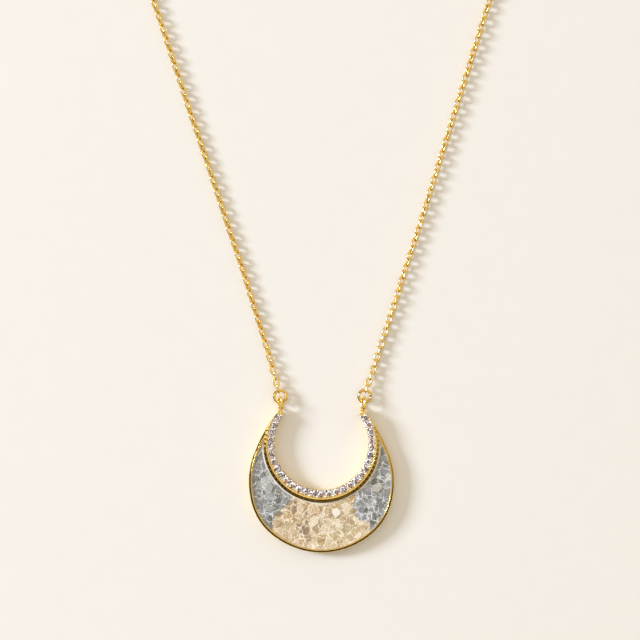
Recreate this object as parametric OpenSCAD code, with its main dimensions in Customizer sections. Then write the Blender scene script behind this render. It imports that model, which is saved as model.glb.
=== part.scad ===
// Crescent pendant on a cable chain, lying flat.
// The pendant faces up, the horns and the chain point to +Y, and the surface it lies on is z = 0.
// The pendant is drawn about the centre of its outer circle. The whole necklace is then moved so
// that the origin is under the middle of its bounding box.

/* [Crescent] */
// Radius of the outer circle
outer_r = 14; // [13.8:0.05:14.2]
// Radius of the open circle that the stones run round
inner_r = 9; // [8.95:0.01:9.05]
// Height of the open circle's centre above the outer circle's centre
inner_rise = 7.16; // [7.1:0.02:7.2]
// Radius of the nearly straight side of each horn
horn_side_r = 28; // [27:0.5:29]
// Angle on the outer circle where a horn's side leaves it, from +X
horn_leave_deg = 162; // [161:0.5:163]
// Angle of each horn's end above the open circle's centre
horn_end_deg = 36.5; // [36:0.25:37.5]
// Thickness of the back plate
back_t = 1; // [0.9:0.05:1.1]

/* [Rim and rail] */
// Width of the outer rim
rim_w = 0.5; // [0.45:0.01:0.6]
// Height of the outer rim
rim_h = 2; // [1.9:0.05:2.1]
// Radius of the rail's foot about the open circle's centre
rail_foot_r = 11.4; // [11.3:0.05:11.5]
// Height of the rail's foot
rail_foot_h = 1.6; // [1.55:0.01:1.65]
// Outer radius of the rail's flat lip
lip_r = 10.83; // [10.8:0.01:10.9]
// Width of the rail's flat lip
lip_w = 0.44; // [0.4:0.01:0.45]
// Height of the rail's flat lip
lip_h = 2.4; // [2.35:0.05:2.5]

/* [Stones] */
// Number of stones in the row
stone_count = 29; // [27:2:29]
// Diameter of a stone
stone_d = 1.2; // [1.15:0.01:1.22]
// Angle from one stone to the next
stone_pitch_deg = 8.57; // [8.5:0.01:8.6]
// Radius of the row of stones
row_r = 9.72; // [9.7:0.01:9.74]
// Height of the channel floor that the seats are cut in
seat_h = 2; // [1.95:0.01:2.05]
// Diameter of a bead prong
prong_d = 0.36; // [0.3:0.02:0.38]

/* [Inlay] */
// Thickness of the inlay
inlay_t = 0.6; // [0.55:0.01:0.65]
// Gap between the inlay and the metal, and between two inlays
fit_gap = 0.06; // [0.05:0.01:0.1]

/* [Eyelets and jump rings] */
// Wire of an eyelet
eyelet_wire = 0.66; // [0.6:0.02:0.7]
// Height of an eyelet's loop, across the pendant's thickness
eyelet_h = 2.22; // [2.2:0.01:2.26]
// Length of an eyelet's loop, away from the horn
eyelet_len = 2.95; // [2.85:0.05:3]
// Sideways lean of the left eyelet
eyelet_lean_left = 2; // [0:0.5:4]
// Sideways lean of the right eyelet
eyelet_lean_right = 7; // [5:0.5:8]
// Outer diameter of a jump ring
ring_od = 2.9; // [2.8:0.05:3]
// Wire of a jump ring
ring_wire = 0.55; // [0.5:0.01:0.58]

/* [Chain and clasp] */
// Width of the chain
chain_d = 1.4; // [1.3:0.05:1.5]
// Outer diameter of the clasp's ring
clasp_od = 5.8; // [5.6:0.1:6]
// Wire of the clasp's ring
clasp_wire = 1; // [0.9:0.05:1]
// Outer diameter of the end ring and of the clasp's soldered loop
end_ring_od = 2.6; // [2.6:0.05:2.7]
// Wire of the end ring and of the clasp's soldered loop
end_ring_wire = 0.42; // [0.38:0.01:0.44]

/* [Hidden] */
// Highest point of the chain's centre line
loop_top_y = 201.5;
// Centre line of each chain: x outwards, y up from the outer circle's centre, z above the surface
route_left = [
    [-8.5, 17.9, 1.1], [-9.5, 21.8, 0.75], [-10.6, 25.7, 0.7], [-13, 33.4, 0.7], [-15.4, 41.2, 0.7],
    [-18, 48.9, 0.7], [-21.8, 60.5, 0.7], [-25.7, 72.1, 0.7], [-29.5, 83.7, 0.7], [-32.6, 93, 0.7],
    [-37.5, 107.5, 0.7], [-42.5, 122.5, 0.7], [-46.9, 136.5, 0.7], [-49.5, 152, 0.7],
    [-46.5, 169, 0.7], [-37.9, 183.8, 0.7], [-24.7, 194.9, 0.7], [-10, 200.5, 0.75], [-1.7, 201.5, 1.3]
];
route_right = [
    [8.8, 17.9, 1.1], [10.2, 21.8, 0.75], [11.4, 25.7, 0.7], [13.9, 33.4, 0.7], [16.4, 41.2, 0.7],
    [18.9, 48.9, 0.7], [22.5, 60.5, 0.7], [26.1, 72.1, 0.7], [29.7, 83.7, 0.7], [32.6, 93, 0.7],
    [37.5, 107.5, 0.7], [42.5, 122.5, 0.7], [46.9, 136.5, 0.7], [49.5, 152, 0.7],
    [46.5, 169, 0.7], [37.9, 183.8, 0.7], [24.7, 194.9, 0.7], [14, 199.6, 0.75], [7.8, 201.2, 1.3]
];
// Rings of the swept chain between two points of its route, and sides of each ring
rings_per_span = 2;
chain_sides = 8;

// Where each colour of inlay ends, from the rail to past the rim
seam_left = [[-5, -1], [-6.2, -2.7], [-7.8, -5.1], [-9.5, -7.1], [-9.3, -9.3], [-9.9, -14]];
seam_right = [[4.5, -2], [5.6, -4], [6.5, -5.8], [7.8, -8.5], [8.9, -9.8], [10.5, -14]];

// How far a horn's side dips inside the outer circle before it leaves it, so that the two cross
horn_dip = 0.05;
// A length past the whole pendant, for cuts and fields
beyond = 20;

// Proportions of a brilliant, as shares of its diameter
table_share = 0.56;
crown_share = 0.16;
girdle_share = 0.05;
pavilion_share = 0.42;
// Height of the girdle's middle above the channel floor
girdle_rise = 0.06;
// Seat: its mouth is this much wider in radius than a stone, and its foot is a small hole
seat_clear = 0.05;
seat_foot_r = 0.1;
seat_depth = 0.5;
// Bead prongs: distance from the row's middle line, height and root
prong_offset = 0.42;
prong_rise = 0.25;
prong_root = 0.2;

// Radius of the solder knob that joins an eyelet to its horn, and where it sits
knob_r = 0.62;
eyelet_z = 1.15;
// Middle of each jump ring, which hangs in the top of its eyelet
ring_left_at = [-7.95, 16.15, eyelet_z];
ring_right_at = [8.38, 16.2, eyelet_z];

// The clasp's ring and the end ring stand on the same level, so that the end ring clears the surface
clasp_z = end_ring_od / 2;
end_ring_x = -0.12;
clasp_x = end_ring_x + (end_ring_od - clasp_wire) / 2 - end_ring_wire - fit_gap
    + (clasp_od - clasp_wire) / 2;
// How deep the soldered loop sinks into the clasp's ring
solder = 0.4;

// Move that puts the origin under the middle of the bounding box
middle_y = (loop_top_y + clasp_od / 2 - outer_r) / 2;

gold = [0.86, 0.66, 0.25];
clear_stone = [0.92, 0.93, 0.97];
grey_chips = [0.55, 0.57, 0.6];
champagne_chips = [0.86, 0.78, 0.62];

function stone_name(i) = str("stone_", i < 10 ? "0" : "", i);
$fn = 72;

// Moves what was drawn about the outer circle's centre to its place in the whole necklace
module laid() {
    translate([0, -middle_y, 0]) children();
}

// A point at an angle and radius about the open circle's centre
function about_open(angle, radius) =
    [radius * cos(angle), inner_rise + radius * sin(angle)];
// Angle of a stone, or of a gap at half numbers, counted from the left horn to the right
function row_angle(i) = 270 + (i - (stone_count + 1) / 2) * stone_pitch_deg;

// One large disc whose edge is a horn's side: side is -1 for the left horn, 1 for the right
module horn_side_disc(side, inset) {
    reach = horn_side_r - outer_r + horn_dip;
    translate([side * reach * cos(horn_leave_deg), -reach * sin(horn_leave_deg)])
        circle(r = horn_side_r - inset);
}

// The pendant's outer shape before the open circle is cut, drawn in by inset
module outer_shape(inset) {
    circle(r = outer_r - inset);
    intersection() {
        horn_side_disc(-1, inset);
        horn_side_disc(1, inset);
        translate([-beyond, outer_r * sin(horn_leave_deg)]) square([2 * beyond, inner_r]);
    }
}

// The rail and the stone channel as one turned profile round the open circle
module gallery() {
    translate([0, inner_rise, 0])
        rotate_extrude()
            polygon([
                [inner_r - lip_w, back_t / 2],
                [rail_foot_r, back_t / 2],
                [rail_foot_r, rail_foot_h],
                [lip_r, lip_h],
                [lip_r - lip_w, lip_h],
                [lip_r - lip_w, seat_h],
                [inner_r - lip_w, seat_h]
            ]);
}

// Cut between the horns, out from the open circle's centre
module horn_gap() {
    translate([0, 0, -beyond / 2])
        linear_extrude(beyond)
            polygon([
                about_open(90, 0),
                about_open(horn_end_deg, beyond),
                about_open(90, 2 * beyond),
                about_open(180 - horn_end_deg, beyond)
            ]);
}

module stone_seat(i) {
    at = about_open(row_angle(i), row_r);
    mouth_r = stone_d / 2 + seat_clear;
    translate([at[0], at[1], seat_h - seat_depth])
        cylinder(h = seat_depth, r1 = seat_foot_r, r2 = mouth_r);
}

module bead_prongs(i) {
    for (side = [-1, 1]) {
        at = about_open(row_angle(i + 0.5), row_r + side * prong_offset);
        translate([at[0], at[1], seat_h - prong_root])
            cylinder(h = prong_root + prong_rise, d = prong_d);
    }
}

// A closed ring of round wire lying flat
module wire_ring(od, wire) {
    rotate_extrude() translate([(od - wire) / 2, 0]) circle(d = wire);
}

// A long loop of round wire lying flat, its length along Y, its far end at the origin
module wire_loop(width, length, wire) {
    bend_r = (width - wire) / 2;
    straight = length - width;
    translate([0, -width / 2, 0])
        rotate_extrude(angle = 180) translate([bend_r, 0]) circle(d = wire);
    translate([0, -width / 2 - straight, 0])
        rotate(180) rotate_extrude(angle = 180) translate([bend_r, 0]) circle(d = wire);
    for (side = [-1, 1])
        translate([side * bend_r, -width / 2, 0])
            rotate([90, 0, 0]) cylinder(d = wire, h = straight);
}

// An eyelet stands across the pendant's thickness on the end of a horn: side is -1 or 1
module eyelet(side, lean) {
    // The knob is turned so that its seam faces away from the other horn
    foot = about_open(90 - side * (90 - horn_end_deg), row_r);
    translate([foot[0], foot[1], eyelet_z]) {
        rotate(90 - side * 90) sphere(r = knob_r);
        rotate(-side * lean)
            translate([0, eyelet_len + knob_r / 2, 0])
                rotate([0, 90, 0]) wire_loop(eyelet_h, eyelet_len, eyelet_wire);
    }
}

module crescent_setting() {
    color(gold) laid() {
        difference() {
            union() {
                linear_extrude(back_t) outer_shape(0);
                linear_extrude(rim_h) difference() {
                    outer_shape(0);
                    outer_shape(rim_w);
                }
                intersection() {
                    linear_extrude(beyond) outer_shape(0);
                    gallery();
                }
            }
            translate([0, inner_rise, -beyond / 2]) cylinder(r = inner_r, h = beyond);
            horn_gap();
            for (i = [1:stone_count]) stone_seat(i);
        }
        for (i = [0:stone_count]) bead_prongs(i);
        eyelet(-1, eyelet_lean_left);
        eyelet(1, eyelet_lean_right);
    }
}

// The pocket between rim and rail, less its gap, kept where the field polygon is
module inlay(field, tint) {
    color(tint) laid()
        translate([0, 0, back_t + fit_gap])
            linear_extrude(inlay_t)
                intersection() {
                    difference() {
                        outer_shape(rim_w + fit_gap);
                        translate([0, inner_rise]) circle(r = rail_foot_r + fit_gap);
                    }
                    polygon(field);
                }
}

// A seam moved sideways by half the gap
function seam_at(seam, side) = [for (p = seam) [p[0] + side * fit_gap / 2, p[1]]];
function backwards(list) = [for (i = [len(list) - 1:-1:0]) list[i]];

module grey_inlay_left() {
    corners = [[-beyond, -beyond], [-beyond, beyond], [seam_left[0][0], beyond]];
    inlay(concat(seam_at(seam_left, -1), corners), grey_chips);
}

module champagne_inlay() {
    inlay(concat(seam_at(seam_left, 1), backwards(seam_at(seam_right, -1))), champagne_chips);
}

module grey_inlay_right() {
    corners = [[beyond, -beyond], [beyond, beyond], [seam_right[0][0], beyond]];
    inlay(concat(seam_at(seam_right, 1), corners), grey_chips);
}

// A round brilliant: an eight-sided table, a crown of kites, a girdle of sixteen flats and a
// pointed pavilion. The girdle's middle is at the origin.
module brilliant(d) {
    function ring(n, r, z, first) =
        [for (k = [0:n - 1]) [r * cos(first + 360 * k / n), r * sin(first + 360 * k / n), z]];
    half_girdle = d * girdle_share / 2;
    points = concat(
        ring(8, d * table_share / 2, half_girdle + d * crown_share, 22.5),
        ring(16, d / 2, half_girdle, 0),
        ring(16, d / 2, -half_girdle, 0),
        [[0, 0, -half_girdle - d * pavilion_share]]
    );
    function table(k) = k % 8;
    function upper(k) = 8 + k % 16;
    function lower(k) = 24 + k % 16;
    culet = 40;
    polyhedron(points, concat(
        [[for (k = [7:-1:0]) k]],
        [for (k = [0:7]) [table(k + 1), upper(2 * k + 2), table(k)]],
        [for (k = [0:7]) [table(k), upper(2 * k + 1), upper(2 * k)]],
        [for (k = [0:7]) [table(k), upper(2 * k + 2), upper(2 * k + 1)]],
        [for (k = [0:15]) [upper(k), upper(k + 1), lower(k + 1), lower(k)]],
        [for (k = [0:15]) [lower(k), lower(k + 1), culet]]
    ));
}

module stone(i) {
    at = about_open(row_angle(i), row_r);
    color(clear_stone) laid()
        translate([at[0], at[1], seat_h + girdle_rise])
            rotate(row_angle(i)) brilliant(stone_d);
}

module jump_ring_left() {
    color(gold) laid() translate(ring_left_at) wire_ring(ring_od, ring_wire);
}

module jump_ring_right() {
    color(gold) laid() translate(ring_right_at) wire_ring(ring_od, ring_wire);
}

// A point at share t of the smooth curve through p1 and p2, with p0 and p3 as their neighbours
function smooth(p0, p1, p2, p3, t) =
    (2 * p1 + (p2 - p0) * t + (2 * p0 - 5 * p1 + 4 * p2 - p3) * t * t
        + (3 * p1 - 3 * p2 + p3 - p0) * t * t * t) / 2;
// The route with rings_per_span steps between each two of its points
function fine_route(route) = [
    for (i = [0:len(route) - 2], k = [0:rings_per_span - 1])
        smooth(route[max(i - 1, 0)], route[i], route[i + 1], route[min(i + 2, len(route) - 1)],
            k / rings_per_span),
    route[len(route) - 1]
];
function unit(v) = v / norm(v);

// A closed tube swept along a route, with a flat side down
module swept_chain(route) {
    line = fine_route(route);
    last = len(line) - 1;
    function along(i) = unit(line[min(i + 1, last)] - line[max(i - 1, 0)]);
    function across(i) = unit(cross(along(i), [0, 0, 1]));
    points = [
        for (i = [0:last], k = [0:chain_sides - 1])
            let (a = 360 * (k + 0.5) / chain_sides, side = across(i), up = cross(side, along(i)))
                line[i] + chain_d / 2 * (cos(a) * side + sin(a) * up)
    ];
    function at(i, k) = i * chain_sides + k % chain_sides;
    color(gold) laid()
        polyhedron(points, concat(
            [[for (k = [chain_sides - 1:-1:0]) at(0, k)]],
            [for (i = [0:last - 1], k = [0:chain_sides - 1])
                [at(i, k), at(i, k + 1), at(i + 1, k + 1), at(i + 1, k)]],
            [[for (k = [0:chain_sides - 1]) at(last, k)]]
        ));
}

module chain_left() {
    swept_chain(route_left);
}

module chain_right() {
    swept_chain(route_right);
}

// A plain closed clasp: a thick ring with a small loop soldered to its side for the chain
module clasp() {
    loop_x = clasp_x + clasp_od / 2 + end_ring_od / 2 - solder;
    color(gold) laid() {
        translate([clasp_x, loop_top_y, clasp_z]) wire_ring(clasp_od, clasp_wire);
        translate([loop_x, loop_top_y, clasp_z])
            rotate([90, 0, 0]) wire_ring(end_ring_od, end_ring_wire);
    }
}

module end_ring() {
    color(gold) laid()
        translate([end_ring_x, loop_top_y, clasp_z])
            rotate([90, 0, 0]) wire_ring(end_ring_od, end_ring_wire);
}

crescent_setting();
grey_inlay_left();
champagne_inlay();
grey_inlay_right();
for (i = [1:stone_count]) stone(i);
jump_ring_left();
jump_ring_right();
chain_left();
chain_right();
clasp();
end_ring();
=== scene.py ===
# %% [markdown]
# # A crescent pendant on a cable chain
#
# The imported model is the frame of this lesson: it holds every piece of the necklace at its real
# size, in metres, lying face up on z = 0 with its chain running towards +Y. What follows dresses
# it. Each shape is worked out with numpy as a surface over two parameters and handed to Blender
# as one mesh, and each finish is built from shader nodes. Nothing else is read from disk.

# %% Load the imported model
import math

import bpy
import numpy as np
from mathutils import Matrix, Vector


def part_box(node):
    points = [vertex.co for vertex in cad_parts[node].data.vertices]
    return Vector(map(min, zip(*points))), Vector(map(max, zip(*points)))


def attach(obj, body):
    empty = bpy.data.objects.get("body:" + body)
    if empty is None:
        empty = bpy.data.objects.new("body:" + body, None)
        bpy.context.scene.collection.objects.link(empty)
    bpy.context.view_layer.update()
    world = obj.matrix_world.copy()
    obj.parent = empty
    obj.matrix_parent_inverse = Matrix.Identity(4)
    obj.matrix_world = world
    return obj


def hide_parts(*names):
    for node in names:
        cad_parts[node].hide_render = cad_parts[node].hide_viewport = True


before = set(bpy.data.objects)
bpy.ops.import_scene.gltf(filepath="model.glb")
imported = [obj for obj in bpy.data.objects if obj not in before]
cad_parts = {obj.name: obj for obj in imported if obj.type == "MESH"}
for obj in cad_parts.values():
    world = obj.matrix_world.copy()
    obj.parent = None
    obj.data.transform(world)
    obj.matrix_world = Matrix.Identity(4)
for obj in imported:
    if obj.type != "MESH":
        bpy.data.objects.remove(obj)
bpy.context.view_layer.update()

# %% [markdown]
# ## Sizes
#
# A jeweller works from a few driving sizes and takes the rest off the piece on the bench. Here
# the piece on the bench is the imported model: the outer circle comes from the setting's own box
# and the stones' places from theirs. Only what no box can tell is written down as a number.

# %% Sizes taken from the frame
mm = 0.001


def node_box(name):
    """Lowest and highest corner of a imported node, as the two rows of an array."""
    return np.array([list(corner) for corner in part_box(name)])


setting_box = node_box("crescent_setting")
outer_r = (setting_box[1, 0] - setting_box[0, 0]) / 2
outer_centre = np.array([0, setting_box[0, 1] + outer_r])
stone_names = sorted(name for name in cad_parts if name.startswith("stone_"))
stone_boxes = np.array([node_box(name) for name in stone_names])
stone_centres = stone_boxes.mean(axis=1)
print("Outer radius", round(outer_r / mm, 2), "mm,", len(stone_names), "stones")

# %% Sizes of the setting
inner_r = 9.08 * mm
open_centre = outer_centre + [0, 7.16 * mm]
horn_end = math.radians(36.5)
back_t = 1 * mm
rim_w = 0.56 * mm
rim_h = 2 * mm
rail_foot_r = 11.48 * mm
crest_r = 10.86 * mm
crest_w = 0.24 * mm
crest_h = 2.4 * mm
channel_wall_r = 10.5 * mm
row_r = 9.8 * mm
floor_h = 2 * mm
stone_d = 1.37 * mm
fit_gap = 0.06 * mm

# %% [markdown]
# ## The outline
#
# The crescent is one large circle less a smaller one, and each horn leaves the large circle along
# the arc of a much larger circle that it touches. Its two lower flanks are about a third of a
# millimetre fuller than the circle. It could be traced as a curve, but everything on the pendant runs
# round the open circle, so the outline is kept as a radius for every angle about that circle's
# centre. The rim, the plate and the inlay then all follow from one function.

# %% The pendant's edge as a radius for each angle
horn_side_r = 28 * mm
horn_leave = math.radians(18)
horn_dip = 0.05 * mm
horn_reach = horn_side_r - outer_r + horn_dip
horn_side_centres = outer_centre - horn_reach * np.array(
    [[math.cos(horn_leave), math.sin(horn_leave)], [-math.cos(horn_leave), math.sin(horn_leave)]]
)
leave_point = outer_centre + outer_r * np.array([math.cos(horn_leave), math.sin(horn_leave)])
leave_sine = (leave_point - open_centre)[1] / np.linalg.norm(leave_point - open_centre)
flank_angles = math.radians(270 - 38.5), math.radians(270 + 38.5)
flank_spread = math.radians(11)
flank_rise = 0.34 * mm


def ray_exit(direction, centre, radius):
    """How far a ray from the open circle's centre runs before it leaves a circle: minus the offset
    along the ray, plus the root of that squared, less the offset squared, plus the radius squared."""
    offset = open_centre - centre
    along = direction @ offset
    return -along + np.sqrt(along**2 - offset @ offset + radius**2)


def outline_r(angle, inset=0.0):
    """Distance from the open circle's centre to the pendant's edge, drawn in by inset: the ray's exit
    from the outer circle, plus a bell curve over each flank, and above the horns' feet the ray's
    first exit from the two large circles."""
    direction = np.stack([np.cos(angle), np.sin(angle)], axis=-1)
    round_edge = ray_exit(direction, outer_centre, outer_r - inset)
    sides = [ray_exit(direction, centre, horn_side_r - inset) for centre in horn_side_centres]
    horn_edge = np.maximum(round_edge, np.minimum(*sides))
    bells = [np.exp(-((angle - flank) ** 2) / (2 * flank_spread**2)) for flank in flank_angles]
    fuller_edge = round_edge + flank_rise * sum(bells)
    return np.where(np.sin(angle) > leave_sine, horn_edge, fuller_edge)


def around(angle, radius, height):
    """Points at angles and radii about the open circle's centre, at heights above the surface."""
    angle, radius, height = np.broadcast_arrays(angle, radius, height)
    x = open_centre[0] + radius * np.cos(angle)
    y = open_centre[1] + radius * np.sin(angle)
    return np.stack([x, y, height], axis=-1)


def rail_foot(angle):
    """Radius of the rail's foot, which is broadest at the bottom and drawn in towards the horns by
    the square of one plus the angle's sine."""
    drawn_in = 0.34 * mm * (1 + np.sin(angle)) ** 2
    return np.maximum(rail_foot_r - drawn_in, channel_wall_r + 0.45 * mm)


horn_to_horn = (math.pi - horn_end, 2 * math.pi + horn_end)
tip_w = outline_r(np.array(horn_to_horn)) - inner_r
print("A horn is", (tip_w / mm).round(2), "mm wide at its end")

# %% [markdown]
# ## Helpers that turn arrays into meshes
#
# A surface over two parameters is a grid of points, so its faces are always the same quads between
# neighbours. One helper numbers those quads and closes the ends, one carries a cross-section along
# a path, one rounds a section's corners as polishing does, and one hands the arrays to Blender and
# checks that the faces look outwards.

# %% Grid faces, carried sections and rounded corners
UP = np.array([0.0, 0.0, 1.0])


def unit(vectors):
    """Vectors divided by their length."""
    return vectors / np.linalg.norm(vectors, axis=-1, keepdims=True)


def grid_quads(rows, columns, close_rows=False, close_columns=True):
    """The quads of a grid of points: each point with its next neighbours along both parameters,
    where the last neighbour is the first point again if that parameter is closed."""
    row = np.arange(rows if close_rows else rows - 1)[:, None]
    column = np.arange(columns if close_columns else columns - 1)[None, :]
    next_row = (row + 1) % rows
    next_column = (column + 1) % columns
    corners = [
        row * columns + column,
        next_row * columns + column,
        next_row * columns + next_column,
        row * columns + next_column,
    ]
    return np.stack(corners, axis=-1).reshape(-1, 4)


def skin(grid, ring=False):
    """Faces of a tube-like grid, its rows along the path. A tube that is no ring gets an end face."""
    rows, columns = grid.shape[:2]
    faces = grid_quads(rows, columns, close_rows=ring).tolist()
    if ring:
        return faces
    last = (rows - 1) * columns
    return faces + [list(range(columns)), list(range(last + columns - 1, last - 1, -1))]


def moved_on(faces, size, count, first=0):
    """Faces of many equal shapes in one mesh: the face numbers of one, moved on by its count of points
    for each copy, and by the points of whatever comes first."""
    starts = (first + np.arange(count) * size).tolist()
    return [[corner + start for corner in face] for start in starts for face in faces]


def carried(path, across, section, up=UP):
    """A section carried along a path: each point of the path, plus the section's first number along
    the across direction there, plus its second number along the up direction."""
    across = across[:, None, :]
    up = np.broadcast_to(up, path.shape)[:, None, :]
    return path[:, None, :] + section[None, :, :1] * across + section[None, :, 1:] * up


def rounded(corners, radii, steps=5):
    """A closed outline with soft corners: at each corner, points of the quadratic curve from one
    radius before it to one radius after it, which the corner pulls towards itself."""
    corners = np.asarray(corners, float)
    radii = np.broadcast_to(radii, len(corners))[:, None]
    before = corners + unit(np.roll(corners, 1, axis=0) - corners) * radii
    after = corners + unit(np.roll(corners, -1, axis=0) - corners) * radii
    t = np.linspace(0, 1, steps)[None, :, None]
    curve = (1 - t) ** 2 * before[:, None] + 2 * t * (1 - t) * corners[:, None] + t**2 * after[:, None]
    return curve.reshape(-1, 2)


# %% One function that makes a finished piece
def placed(name, data):
    """A new object for a mesh, a lamp or a camera, linked into the scene."""
    thing = bpy.data.objects.new(name, data)
    bpy.context.scene.collection.objects.link(thing)
    return thing


def make_piece(name, points, faces, material, replaced=(), crease=None, marks=None):
    """A mesh object at the origin with its place in its mesh, riding on the necklace's one body.
    Faces are turned outwards if the mesh's volume, a sixth of the summed triple products of its
    triangles' corners, comes out negative. Marks are colour attributes by name, one for each point
    or one for each corner of a face."""
    points = np.asarray(points, float).reshape(-1, 3)
    mesh = bpy.data.meshes.new(name)
    mesh.from_pydata(points.tolist(), [], faces)
    mesh.calc_loop_triangles()
    corners = np.empty(len(mesh.loop_triangles) * 3, int)
    mesh.loop_triangles.foreach_get("vertices", corners)
    a, b, c = points[corners.reshape(-1, 3).T]
    if np.einsum("ij,ij->", a, np.cross(b, c)) < 0:
        mesh.flip_normals()
    mesh.polygons.foreach_set("use_smooth", np.full(len(mesh.polygons), crease != 0))
    if crease:
        mesh.set_sharp_from_angle(angle=math.radians(crease))
    for mark, values in (marks or {}).items():
        domain = "POINT" if len(values) == len(points) else "CORNER"
        attribute = mesh.attributes.new(mark, "FLOAT_COLOR", domain)
        attribute.data.foreach_set("color", values.astype(np.float32).ravel())
    mesh.materials.append(material)
    piece = placed(name, mesh)
    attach(piece, "root")
    if replaced:
        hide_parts(*replaced)
    print(name, "has", len(mesh.polygons), "faces")
    return piece


# %% [markdown]
# ## Helpers for finishes
#
# A material is a small network. One function adds any node, sets what is named and links what is
# given, so a finish reads as a list of steps. Colours are picked as the sRGB values that a screen
# shows, and one function turns them into the linear light that Blender reckons with. Patterns are
# scaled from their real size: one repeat of a noise of scale s is 1/s metres wide.

# %% Colours, nodes and new materials
def linear(hex_colour):
    """sRGB to linear light: a channel up to 0.04045 is divided by 12.92, any other is
    ((channel + 0.055) / 1.055) to the power 2.4."""
    srgb = np.array([int(hex_colour[k:k + 2], 16) for k in (1, 3, 5)]) / 255
    light = np.where(srgb <= 0.04045, srgb / 12.92, ((srgb + 0.055) / 1.055) ** 2.4)
    return [*light.tolist(), 1.0]


def set_up(node, settings=None, links=None):
    """Gives a node its settings and links. A setting or link is named by socket name or number, and
    any other setting is one of the node's options. Stops are a colour ramp's places and colours. A
    link that names a whole node starts at the first of its outputs in use."""
    settings = dict(settings or {})
    for place, (position, colour) in enumerate(settings.pop("stops", [])):
        stops = node.color_ramp.elements
        stop = stops[place] if place < len(stops) else stops.new(position)
        stop.position = position
        stop.color = linear(colour)
    for key, value in settings.items():
        if isinstance(key, int) or key in node.inputs:
            node.inputs[key].default_value = value
        else:
            setattr(node, key, value)
    for key, source in (links or {}).items():
        if isinstance(source, bpy.types.Node):
            source = next(output for output in source.outputs if output.enabled)
        node.id_data.links.new(source, node.inputs[key])
    return node


def add_node(tree, kind, settings=None, links=None):
    """Adds a node with its settings and links. A Mix node goes by numbers: 0 is its share, 6 and 7
    are its two colours."""
    return set_up(tree.nodes.new("ShaderNode" + kind), settings, links)


def new_material(name):
    """An empty node material with its output and one principled shader, and the piece's own place
    in metres as the pattern's coordinates."""
    material = bpy.data.materials.new(name)
    material.use_nodes = True
    tree = material.node_tree
    tree.nodes.clear()
    shader = add_node(tree, "BsdfPrincipled")
    add_node(tree, "OutputMaterial", links={"Surface": shader})
    place = add_node(tree, "TexCoord").outputs["Object"]
    return material, tree, shader, place


def repeats(size):
    """The scale at which a pattern's repeat is size metres wide."""
    return 1 / size


# %% [markdown]
# ## Gold plate
#
# The metal is brass with a polished yellow-gold plate. A casting is tumbled and buffed before it is
# plated, which leaves it mirror-like with a soft unevenness: shallow waves about half a millimetre
# wide from the buffing wheel, and marks finer than a tenth of a millimetre from the tumbling. The
# waves break a reflection into bright and dark patches, which is what tells the eye that it is cast
# gold and not plastic. Where a file has been, the plate is satin, and a mark on the mesh says how
# much. Metal keeps Blender's own IOR, and its colour does the work.

# %% Gold plate over brass
satin_roughness = 0.25


def polished_gold(name, wave_size, wave_depth):
    """Polished plate: a warm yellow that is deeper where the plate is thicker, a gloss that wanders
    with the buffing, and two layers of relief, the waves and the tumbling marks. Where the mark
    pale_metal is one, the yellow is mixed towards a paler, whiter one, which on the bead prongs is
    a painted highlight, and the mark satin adds roughness."""
    material, tree, shader, place = new_material(name)
    patches = add_node(tree, "TexNoise", {"Scale": repeats(1.6 * mm), "Detail": 3.0}, {"Vector": place})
    plate = add_node(tree, "ValToRGB", {"stops": [(0.3, "#f8cf70"), (0.7, "#ffe28a")]}, {"Fac": patches})
    # The pale_metal mark mixes in a paler, whiter yellow, a painted highlight on the bead prongs.
    cut = add_node(tree, "Attribute", {"attribute_name": "pale_metal"}).outputs["Fac"]
    metal = add_node(tree, "Mix", {"data_type": "RGBA", 7: linear("#fff4e2")}, {0: cut, 6: plate})
    buffing = add_node(tree, "TexNoise", {"Scale": repeats(0.5 * mm), "Detail": 4.0}, {"Vector": place})
    gloss = add_node(
        tree,
        "MapRange",
        {"From Min": 0.3, "From Max": 0.7, "To Min": 0.06, "To Max": 0.15},
        {"Value": buffing},
    )
    filed = add_node(tree, "Attribute", {"attribute_name": "satin"}).outputs["Fac"]
    rougher = {"operation": "MULTIPLY_ADD", 1: satin_roughness}
    satin = add_node(tree, "Math", rougher, {0: filed, 2: gloss})
    waves = add_node(tree, "TexNoise", {"Scale": repeats(wave_size), "Detail": 1.0}, {"Vector": place})
    marks = add_node(tree, "TexNoise", {"Scale": repeats(0.09 * mm), "Detail": 2.0}, {"Vector": place})
    wavy = add_node(tree, "Bump", {"Strength": 1.0, "Distance": wave_depth}, {"Height": waves})
    marked = add_node(
        tree, "Bump", {"Strength": 0.25, "Distance": 0.004 * mm}, {"Height": marks, "Normal": wavy}
    )
    set_up(shader, {"Metallic": 1.0}, {"Base Color": metal, "Roughness": satin, "Normal": marked})
    return material


gold_plate = polished_gold("polished_gold_plate", wave_size=0.6 * mm, wave_depth=0.01 * mm)
drawn_gold = polished_gold("gold_plated_drawn_wire", wave_size=0.45 * mm, wave_depth=0.008 * mm)

# %% [markdown]
# ## The outer rim
#
# On the real pendant a thin wall stands round the edge and keeps the inlay in. It is cast with the
# plate, and its outer corner is bevelled, which is why its outer half looks dark and its inner half
# bright all the way round. On the side of the lamp the bevel is filed a little further. A bevelled
# curve would do, but its section would turn with the curve; here the wall's section is carried along
# the outline with its width always square to the edge, so the wall is equally thick from horn to
# horn. The bevel's upper edge is nearly sharp, because a round one would catch the lamp as a white
# line.

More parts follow.
